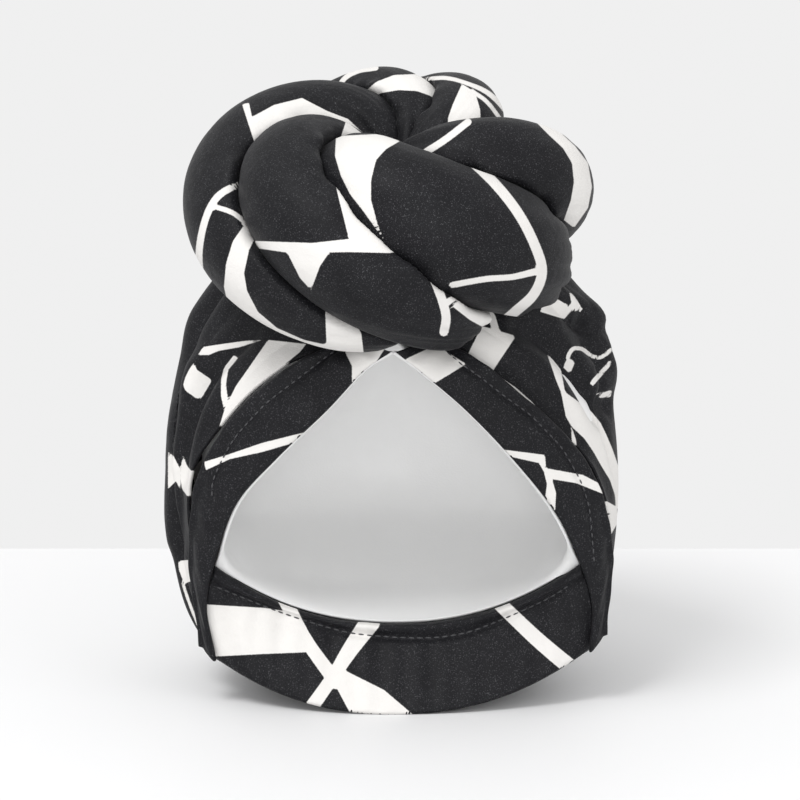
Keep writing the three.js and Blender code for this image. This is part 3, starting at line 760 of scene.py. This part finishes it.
def blur(values, passes):
    """A grid of values softened, wrapping round its columns."""
    for _ in range(passes):
        wrapped = np.concatenate([values[:, -2:-1], values, values[:, 1:2]], axis=1)
        values = (wrapped[:, :-2] + 2 * wrapped[:, 1:-1] + wrapped[:, 2:]) / 4
        tall = np.concatenate([values[:1], values, values[-1:]])
        values = (tall[:-2] + 2 * tall[1:-1] + tall[2:]) / 4
    return values


CORE = 0.02  # share of its radius that a roll keeps where another presses on it
HALVINGS = 9  # steps of the search for the place where two rolls meet


def roll_grid(s, c, index):
    """A stuffed roll with round ends, pressed in by the rolls that lie on it."""
    cap_rows = 12
    cap = np.linspace(0, math.pi / 2, cap_rows, endpoint=False)
    inner = np.linspace(0, 1, c.roll_rows + 1 - 2 * cap_rows)
    p = np.concatenate([0 * cap, inner, 0 * cap + 1])
    forward = np.concatenate([-np.cos(cap), 0 * inner, np.cos(cap[::-1])])
    scale = np.concatenate([np.sin(cap), 0 * inner + 1, np.sin(cap[::-1])])
    centre, radius = roll_path(s, index, p)
    ahead = roll_path(s, index, np.minimum(p + 0.01, 1))[0]
    along = unit(ahead - roll_path(s, index, np.maximum(p - 0.01, 0))[0])
    right = unit(np.cross(along, knot_axis(s)))
    up = np.cross(right, along)
    middle = centre + along * (forward * radius)[:, None]
    turn = np.linspace(0, 2 * math.pi, c.roll_columns + 1)
    spoke = right[:, None] * np.cos(turn)[None, :, None] + up[:, None] * np.sin(turn)[None, :, None]
    reach = np.repeat((radius * scale)[:, None], len(turn), axis=1)
    hold = np.ones_like(reach)
    others = [roll_path(s, other, np.linspace(0, 1, 60)) for other in range(index)]
    if others:
        centres = np.concatenate([other[0] for other in others])
        radii = np.concatenate([other[1] for other in others]) + c.gap

        def clear(points):
            return (apart(points, centres) - radii).min(axis=1) > 0

        tip = (middle[:, None] + spoke * reach[..., None]).reshape(-1, 3)
        root = np.repeat(middle[:, None], len(turn), axis=1).reshape(-1, 3)
        pressed = np.flatnonzero(~clear(tip))
        low, high = np.full(len(pressed), CORE), np.ones(len(pressed))
        for _ in range(HALVINGS):
            half = (low + high) / 2
            free = clear(mix(root[pressed], tip[pressed], half[:, None]))
            low, high = np.where(free, half, low), np.where(free, high, half)
        flat = hold.reshape(-1)
        flat[pressed] = low
        hold = np.minimum(flat.reshape(hold.shape), blur(flat.reshape(hold.shape), 3))
    folds = roll_gathers(c, index, p[:, None], turn[None]) * scale[:, None] * hold**2
    beside = blur((hold < 0.97).astype(float), 14) * hold**3
    ripple = np.sin(46 * p[:, None] + 3 * np.sin(5 * p[:, None] + turn)) * np.sin(17 * p[:, None] + turn)
    folds = folds + c.pucker * beside * ripple * scale[:, None]
    return middle[:, None] + spoke * (reach * hold + folds)[..., None]


def roll_gathers(c, index, p, turn):
    """Height of a roll's gathers, which are deep where it is drawn in at its ends."""
    pick = random.Random(index + 5)
    drawn = 0.17 + bump(p, 0.13) + bump(1 - p, 0.16)
    height = 0
    for _ in range(5):
        waves, phase, twist = pick.randint(5, 13), pick.uniform(0, 6.3), pick.uniform(-1.5, 1.5)
        height = height + np.abs(np.sin(waves / 2 * turn + phase + twist * p)) ** 0.8 - 0.62
    bend = 0.0004 * np.sin(26 * p + 2 * np.sin(turn + index)) * np.maximum(0, -np.cos(turn))
    return c.gather * 0.55 * drawn * height / 2 + bend


CHART_STEP = 1.5  # spacing of the places along a charted line, in units of a view's frame
NEIGHBOURS = 10  # corners of the grid that carry each place of a line
TILT, LAYER = 0.004, 0.012  # of those only ones this near to the foremost, in metres
FACES_VIEW = 0.05  # a corner that faces a view less than this carries no line
SOFTENING = 8  # passes that smooth a line once it lies on the piece


def drawn_line(spots):
    """A charted row of spots as a smooth line of close places."""
    spots = np.array(spots, float)
    reach = np.linalg.norm(np.diff(spots[:, :2], axis=0), axis=1).sum()
    return smooth(spots, np.linspace(0, 1, int(reach / CHART_STEP) + 2))


class View:
    """A view that charts are drawn on."""

    def __init__(self, stage, name):
        azimuth, elevation = (math.radians(angle) for angle in VIEWS[name])
        self.back = np.array(
            [
                math.sin(azimuth) * math.cos(elevation),
                -math.cos(azimuth) * math.cos(elevation),
                math.sin(elevation),
            ]
        )
        self.right = np.array([math.cos(azimuth), math.sin(azimuth), 0])
        self.up = np.cross(self.back, self.right)
        aim = np.array([stage.aim_across, stage.aim_back, stage.aim_up])
        self.eye = aim + self.back * stage.distance
        self.focus = VIEW_SIZE * stage.lens / stage.sensor

    def project(self, points):
        """Places on the frame as x and y, and the depth of each."""
        away = points - self.eye
        depth = -away @ self.back
        middle = VIEW_SIZE / 2
        x = middle + self.focus * (away @ self.right) / depth
        y = middle - self.focus * (away @ self.up) / depth
        return np.stack([x, y], axis=-1), depth

    def facing(self, points, normals):
        """How far each point faces the view, 1 where it looks straight at it."""
        return ((self.eye - points) * normals).sum(axis=1) / np.linalg.norm(self.eye - points, axis=1)

    def lay(self, spots, points, normals):
        """Places on a piece under charted spots, and the third value of each spot."""
        dense = drawn_line(spots)
        points, normals = points.reshape(-1, 3), normals.reshape(-1, 3)
        points = points[self.facing(points, normals) > FACES_VIEW]
        places, depths = self.project(points)
        away = apart(dense[:, :2], places)
        near = np.argpartition(away, NEIGHBOURS, axis=1)[:, :NEIGHBOURS]
        away = np.take_along_axis(away, near, axis=1)
        depth = depths[near]
        front = depth < np.min(depth + TILT * away, axis=1, keepdims=True) + LAYER
        weight = front / (away**2 + 0.05)
        weight /= weight.sum(axis=1, keepdims=True)
        found = (points[near] * weight[..., None]).sum(axis=1)
        at, deep = self.project(found)
        move = (dense[:, :2] - at) * (deep / self.focus)[:, None]
        found = found + move[:, :1] * self.right - move[:, 1:] * self.up
        for _ in range(SOFTENING):
            found[1:-1] = (found[:-2] + 2 * found[1:-1] + found[2:]) / 4
        values = dense[:, 2] if dense.shape[1] > 2 else None
        return found, values


def nearest(points, path, weights=None):
    """For each point the largest of weight minus distance over a path, and where on it."""
    flat = points.reshape(-1, path.shape[-1])
    best = np.empty(len(flat))
    where = np.empty(len(flat), int)
    weights = np.zeros(len(path)) if weights is None else weights
    for first in range(0, len(flat), 4000):
        part = slice(first, first + 4000)
        near = weights - apart(flat[part], path)
        where[part] = near.argmax(axis=1)
        best[part] = near.max(axis=1)
    return best.reshape(points.shape[:-1]), where.reshape(points.shape[:-1])


def inside(places, corners):
    """How far inside a polygon each place lies, less than 0 outside it."""
    away, turns = np.full(len(places), np.inf), np.zeros(len(places))
    for a, b in zip(corners, np.roll(corners, -1, axis=0)):
        edge, from_a, from_b = b - a, places - a, places - b
        at = np.clip(from_a @ edge / (edge @ edge), 0, 1)
        away = np.minimum(away, np.linalg.norm(from_a - at[:, None] * edge, axis=1))
        across = from_a[:, 0] * from_b[:, 1] - from_a[:, 1] * from_b[:, 0]
        turns += np.arctan2(across, (from_a * from_b).sum(axis=1))
    return np.where(np.abs(turns) > math.pi, away, -away)


def creased(stage, name, points, normals):
    """The piece's grid with its charted creases pressed in."""
    height = np.zeros(points.shape[:-1])
    for reach, spots in CREASES.get(name, ()):
        path, values = View(stage, "front").lay(spots, points, normals)
        best, where = nearest(points, path)
        height += values[where] / 1000 * bump(best, reach)
    return points + normals * height[..., None]


def within_stripe(places, spots):
    """How far inside a stripe each place lies, less than 0 outside it."""
    line = drawn_line(spots)
    return nearest(places, line[:, :2], line[:, 2] / 2)[0]


CALM = 60  # passes that soften the normals, so that creases don't cut the print
OUTSIDE = -0.05  # a depth well outside every stripe, in metres
TURNED_AWAY = 0.06  # how fast a chart's print ends, in metres, where the cloth turns from its view
PAST_SIDE, PAST_FRONT = -0.2, -0.1  # how far the cloth has turned away where that begins


def printed(stage, name, points, normals):
    """How far inside a white stripe or patch each point of the grid lies, in metres."""
    flat, out = points.reshape(-1, 3), unit(blur(normals, CALM)).reshape(-1, 3)
    front = View(stage, "front").facing(flat, out)
    depth = np.full(len(flat), OUTSIDE)
    for test, charts in ((within_stripe, STRIPES), (inside, PATCHES)):
        for view_name, rows in charts.get(name, {}).items():
            view = View(stage, view_name)
            places, away = view.project(flat)
            turned = np.clip(PAST_SIDE - view.facing(flat, out), 0, 1)
            if view_name != "front":
                turned = turned + np.clip(front - PAST_FRONT, 0, 1)
            for spots in rows:
                within = test(places, np.array(spots, float)) * away / view.focus
                depth = np.maximum(depth, within - turned * TURNED_AWAY)
    return depth.reshape(points.shape[:-1])


NODES = {"lining": ("lining_left", "lining_right")}  # pieces that stand for more than one node


def build(context, name, points, closed=False, thickness=0.0, tag="printed_cloth"):
    """A finished piece from its grid, in place of the node called name."""
    s, stage = context.scene.turban_sizes, context.scene.turban_stage
    outward = tube_outward if closed else normals_of
    points = points + np.array([s.shift_across, s.shift_back, 0])
    points = creased(stage, name, points, outward(points))
    normals = outward(points)
    print_depth = printed(stage, name, points, normals)
    rows, columns = points.shape[:2]
    bm = bmesh.new()
    bmesh.ops.create_grid(bm, x_segments=columns - 1, y_segments=rows - 1, size=1)
    layer = bm.verts.layers.float.new("print_depth")
    for vert in bm.verts:
        j = round((vert.co.x + 1) / 2 * (columns - 1))
        i = round((vert.co.y + 1) / 2 * (rows - 1))
        vert[layer] = print_depth[i, j]
        vert.co = points[i, j]
    if closed:
        bmesh.ops.remove_doubles(bm, verts=bm.verts, dist=1e-6)
        bmesh.ops.holes_fill(bm, edges=[e for e in bm.edges if e.is_boundary], sides=0)
        bmesh.ops.recalc_face_normals(bm, faces=bm.faces)
    piece = add_object(f"{name}_cloth", bm)
    if thickness:
        solid = piece.modifiers.new("thickness", "SOLIDIFY")
        solid.thickness = thickness
        solid.offset = -1
    finish_piece(piece, tag)
    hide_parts(*NODES.get(name, (name,)))
    return piece, points, normals


def add_object(label, bm):
    """A new object from a bmesh, smoothly shaded."""
    for face in bm.faces:
        face.smooth = True
    mesh = bpy.data.meshes.new(label)
    bm.to_mesh(mesh)
    bm.free()
    piece = bpy.data.objects.new(label, mesh)
    bpy.context.scene.collection.objects.link(piece)
    return piece


def finish_piece(piece, tag):
    """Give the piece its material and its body."""
    piece.data.materials.append(MATERIALS[tag]())
    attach(piece, "root")


class Value:
    """A number in a material's node tree, with arithmetic that adds a node each time."""

    def __init__(self, graph, socket):
        self.graph = graph
        self.socket = socket

    def _math(self, operation, a, b):
        return self.graph.node("ShaderNodeMath", [a, b], operation=operation)

    def __add__(self, other):
        return self._math("ADD", self, other)

    def __sub__(self, other):
        return self._math("SUBTRACT", self, other)

    def __mul__(self, other):
        return self._math("MULTIPLY", self, other)

    def __truediv__(self, other):
        return self._math("DIVIDE", self, other)

    def clamp(self):
        """The value held between 0 and 1."""
        low = self._math("MAXIMUM", self, 0.0)
        return self._math("MINIMUM", low, 1.0)


class Graph:
    """A material and its node tree."""

    def __init__(self, name):
        self.material = bpy.data.materials.new(name)
        self.material.use_nodes = True
        self.tree = self.material.node_tree
        self.tree.nodes.clear()

    def node(self, kind, inputs=(), output=0, **settings):
        """Add a node, link or set its inputs, and give one of its outputs."""
        node = self.tree.nodes.new(kind)
        for key, value in settings.items():
            setattr(node, key, value)
        pairs = inputs.items() if isinstance(inputs, dict) else enumerate(inputs)
        for key, value in pairs:
            if isinstance(value, Value):
                self.tree.links.new(value.socket, node.inputs[key])
            else:
                node.inputs[key].default_value = value
        return Value(self, node.outputs[output]) if len(node.outputs) else None

    def colours(self, a, b, factor):
        """A colour between two others."""
        return self.node("ShaderNodeMix", {0: factor, 6: a, 7: b}, output=2, data_type="RGBA")

    def finish(self, **inputs):
        """The surface, from the inputs of a Principled BSDF with _ for a space."""
        named = {key.replace("_", " "): value for key, value in inputs.items()}
        surface = self.node("ShaderNodeBsdfPrincipled", named)
        self.node("ShaderNodeOutputMaterial", {"Surface": surface})
        return self.material


# The second black is lighter: painted sheen, laid in mottled patches over the cloth's black.
BLACK, BLACK_SHEEN = (0.0045, 0.0045, 0.0056, 1), (0.0105, 0.0105, 0.0125, 1)
# The speck colour is a painted glint: fine bright specks of light on the black weave.
GLINT_SPECK = (0.10, 0.10, 0.106, 1)
WHITE, WHITE_SHADE = (0.71, 0.695, 0.675, 1), (0.66, 0.645, 0.625, 1)
SATIN, SATIN_SHADE = (0.80, 0.80, 0.795, 1), (0.755, 0.755, 0.755, 1)
TABLE = (0.79, 0.79, 0.795, 1)


@functools.cache
def printed_cloth():
    """Black jersey with white stripes and a fine weave, with painted sheen patches and glints on the
    black.
    """
    g = Graph("printed_cloth")
    place = g.node("ShaderNodeTexCoord", output=3)
    weave = g.node("ShaderNodeTexNoise", {"Vector": place, "Scale": 2100.0, "Detail": 1.0})
    # Mottled patches: painted sheen on the black, and random tone on the white.
    tone_and_sheen = g.node("ShaderNodeTexNoise", {"Vector": place, "Scale": 90.0, "Detail": 4.0})
    creases = g.node("ShaderNodeTexNoise", {"Vector": place, "Scale": 160.0, "Detail": 3.0})
    depth = g.node("ShaderNodeAttribute", output=2, attribute_name="print_depth")
    ragged = depth + (weave - 0.5) * 0.0003
    edge = bpy.context.scene.turban_cloth.edge
    white = (ragged / edge + 0.5).clamp()
    black = g.colours(BLACK, BLACK_SHEEN, tone_and_sheen)
    # Fine specks of painted glint on the black, thicker where the painted sheen lies.
    black = g.colours(black, GLINT_SPECK, ((weave - 0.6) * 7.0).clamp() * (tone_and_sheen * 0.8 + 0.2))
    pale = g.colours(WHITE, WHITE_SHADE, tone_and_sheen)
    height = weave * 0.2 + creases * 0.8
    bumps = g.node("ShaderNodeBump", {"Height": height, "Strength": 0.5, "Distance": 0.0012})
    return g.finish(
        Base_Color=g.colours(black, pale, white),
        Roughness=white * 0.12 + 0.55,
        Normal=bumps,
        Specular_IOR_Level=0.14,
        Sheen_Weight=0.03,
        Sheen_Roughness=0.4,
    )


@functools.cache
def satin_lining():
    """White satin, smooth and soft."""
    g = Graph("satin_lining")
    place = g.node("ShaderNodeTexCoord", output=3)
    weave = g.node("ShaderNodeTexNoise", {"Vector": place, "Scale": 1300.0, "Detail": 1.0})
    soft = g.node("ShaderNodeTexNoise", {"Vector": place, "Scale": 30.0, "Detail": 2.0})
    bumps = g.node("ShaderNodeBump", {"Height": weave, "Strength": 0.2, "Distance": 0.0003})
    return g.finish(
        Base_Color=g.colours(SATIN, SATIN_SHADE, soft),
        Roughness=soft * 0.1 + 0.42,
        Normal=bumps,
        Sheen_Weight=0.1,
    )


@functools.cache
def thread():
    """Black sewing thread with a slight shine."""
    return Graph("thread").finish(Base_Color=(0.045, 0.045, 0.049, 1), Roughness=0.4)


@functools.cache
def table_top():
    """The pale table."""
    return Graph("table_top").finish(Base_Color=TABLE, Roughness=0.55)


MATERIALS = {
    "printed_cloth": printed_cloth,
    "satin_lining": satin_lining,
    "thread": thread,
}


def tube_outward(points):
    """Outward normals of a closed grid whose columns run round it."""
    normals = normals_of(points)
    middle = points[:, :-1].mean(axis=1, keepdims=True)
    sign = np.sign(((points - middle) * normals).sum(axis=-1).mean())
    return normals * sign


class TURBAN_OT_crown(bpy.types.Operator):
    """Build the gathered outer cloth of the cap"""

    bl_idname = "turban.crown"
    bl_label = "Crown"

    def execute(self, context):
        s, c = context.scene.turban_sizes, context.scene.turban_cloth
        piece, _, _ = build(context, "crown", crown_grid(s, c), thickness=c.cloth)
        return {"FINISHED"}


class TURBAN_OT_lining(bpy.types.Operator):
    """Build the satin lining"""

    bl_idname = "turban.lining"
    bl_label = "Lining"

    def execute(self, context):
        s, c = context.scene.turban_sizes, context.scene.turban_cloth
        grid = lining_grid(s, c)
        piece, _, _ = build(context, "lining", grid, thickness=c.lining_cloth, tag="satin_lining")
        return {"FINISHED"}


STITCH_THICKNESS = 0.0007


def stitch_rows(context, name, points, normals):
    """One object with the charted rows of stitches of a band."""
    flat_points, flat_normals = points.reshape(-1, 3), normals.reshape(-1, 3)
    bm = bmesh.new()
    for stitch, step, spots in STITCHES[name]:
        path, _ = View(context.scene.turban_stage, "front").lay(spots, points, normals)
        run = np.concatenate([[0], np.cumsum(np.linalg.norm(np.diff(path, axis=0), axis=1))])
        for at in np.arange(stitch, run[-1], step):
            here = np.array([np.interp(at, run, column) for column in path.T])
            ahead = np.array([np.interp(at + stitch / 2, run, column) for column in path.T])
            behind = np.array([np.interp(at - stitch / 2, run, column) for column in path.T])
            along = Vector(unit(ahead - behind))
            out = Vector(flat_normals[np.linalg.norm(flat_points - here, axis=1).argmin()])
            across = along.cross(out).normalized()
            turned = Matrix((along, across, out)).transposed().to_4x4()
            half = Vector((stitch / 2, STITCH_THICKNESS / 2, STITCH_THICKNESS / 2, 1))
            matrix = Matrix.Translation(Vector(here)) @ turned @ Matrix.Diagonal(half)
            bmesh.ops.create_uvsphere(bm, u_segments=8, v_segments=6, radius=1, matrix=matrix)
    piece = add_object(f"{name}_stitches", bm)
    finish_piece(piece, "thread")
    return piece


class TURBAN_OT_bands(bpy.types.Operator):
    """Build the two arms of the front band and the nape's facing, with their stitches"""

    bl_idname = "turban.bands"
    bl_label = "Bands"

    def execute(self, context):
        s, c = context.scene.turban_sizes, context.scene.turban_cloth
        for side, name in ((-1, "front_band_left"), (1, "front_band_right")):
            self.add(context, name, arm_body(s, c, side), (0.026, 0.16))
        self.add(context, "nape_band", nape_body(s, c), (0.2, 0.042))
        return {"FINISHED"}

    def add(self, context, name, grid, flat):
        """One band with its rows of stitches."""
        piece, points, normals = build(context, name, grid, closed=True)
        stitches = stitch_rows(context, name, points, normals)


class TURBAN_OT_knot(bpy.types.Operator):
    """Build the six stuffed rolls of the knot"""

    bl_idname = "turban.knot"
    bl_label = "Knot"

    def execute(self, context):
        s, c = context.scene.turban_sizes, context.scene.turban_cloth
        for index in range(len(ROLLS["start"])):
            grid = roll_grid(s, c, index)
            piece, _, _ = build(context, f"knot_roll_{index + 1}", grid, closed=True)
        return {"FINISHED"}


# The square lights: place and width in metres, and power in watts.
LIGHTS = {
    "key": ((-0.9, -1.0, 2.3), 0.8, 32),
    "fill": ((1.2, -0.9, 0.9), 1.0, 3),
    "front": ((0.0, -2.4, 0.4), 0.7, 15),
}
DAYLIGHT = 0.87  # strength of the even white light from all sides
AIM_UP = 0.12  # the height that the lights point at


class TURBAN_OT_stage(bpy.types.Operator):
    """Set the table, the camera and soft light"""

    bl_idname = "turban.stage"
    bl_label = "Stage"

    def execute(self, context):
        stage = context.scene.turban_stage
        bm = bmesh.new()
        bmesh.ops.create_grid(bm, x_segments=1, y_segments=1, size=0.5)
        for vert in bm.verts:
            vert.co.x *= stage.table_size
            vert.co.y = stage.table_back if vert.co.y > 0 else -stage.table_size / 2
            vert.co.z = -0.0001
        table_piece = add_object("table", bm)
        table_piece.data.materials.append(table_top())
        camera = bpy.data.objects.new("camera", bpy.data.cameras.new("camera"))
        camera.data.lens = stage.lens
        camera.data.sensor_width = stage.sensor
        camera.data.clip_end = 20
        view = View(stage, "front")
        camera.location = view.eye
        camera.rotation_euler = (math.pi / 2 - stage.elevation, 0, 0)
        context.scene.collection.objects.link(camera)
        context.scene.camera = camera
        for label, (place, size, power) in LIGHTS.items():
            self.light(context, label, place, size, power)
        context.scene.view_settings.view_transform = "Standard"
        world = context.scene.world or bpy.data.worlds.new("world")
        context.scene.world = world
        world.use_nodes = True
        background = world.node_tree.nodes["Background"]
        background.inputs["Color"].default_value = (1.0, 1.0, 1.0, 1)
        background.inputs["Strength"].default_value = DAYLIGHT
        return {"FINISHED"}

    def light(self, context, label, place, size, power):
        """A square area light that shines at the cap."""
        data = bpy.data.lights.new(label, "AREA")
        data.size = size
        data.energy = power
        lamp = bpy.data.objects.new(label, data)
        lamp.location = place
        toward = Vector((0, 0, AIM_UP)) - Vector(place)
        lamp.rotation_euler = toward.to_track_quat("-Z", "Y").to_euler()
        context.scene.collection.objects.link(lamp)


class TURBAN_PT_panel(bpy.types.Panel):
    """The turban cap's tools"""

    bl_idname = "TURBAN_PT_panel"
    bl_label = "Turban Cap"
    bl_space_type = "VIEW_3D"
    bl_region_type = "UI"
    bl_category = "Turban"

    def draw(self, context):
        for operator in OPERATORS:
            self.layout.operator(operator.bl_idname)
        for name in ("turban_sizes", "turban_cloth", "turban_stage"):
            group = getattr(context.scene, name)
            box = self.layout.box()
            for key in group.bl_rna.properties.keys():
                if key not in ("rna_type", "name"):
                    box.prop(group, key)


OPERATORS = (
    TURBAN_OT_crown,
    TURBAN_OT_lining,
    TURBAN_OT_bands,
    TURBAN_OT_knot,
    TURBAN_OT_stage,
)
CLASSES = (TurbanSizes, TurbanCloth, TurbanStage, *OPERATORS, TURBAN_PT_panel)


def register():
    for item in CLASSES:
        bpy.utils.register_class(item)
    bpy.types.Scene.turban_sizes = PointerProperty(type=TurbanSizes)
    bpy.types.Scene.turban_cloth = PointerProperty(type=TurbanCloth)
    bpy.types.Scene.turban_stage = PointerProperty(type=TurbanStage)


def unregister():
    del bpy.types.Scene.turban_stage
    del bpy.types.Scene.turban_cloth
    del bpy.types.Scene.turban_sizes
    for item in reversed(CLASSES):
        bpy.utils.unregister_class(item)


def main():
    register()
    bpy.ops.turban.crown()
    bpy.ops.turban.lining()
    bpy.ops.turban.bands()
    bpy.ops.turban.knot()
    bpy.ops.turban.stage()


if __name__ == "__main__":
    main()
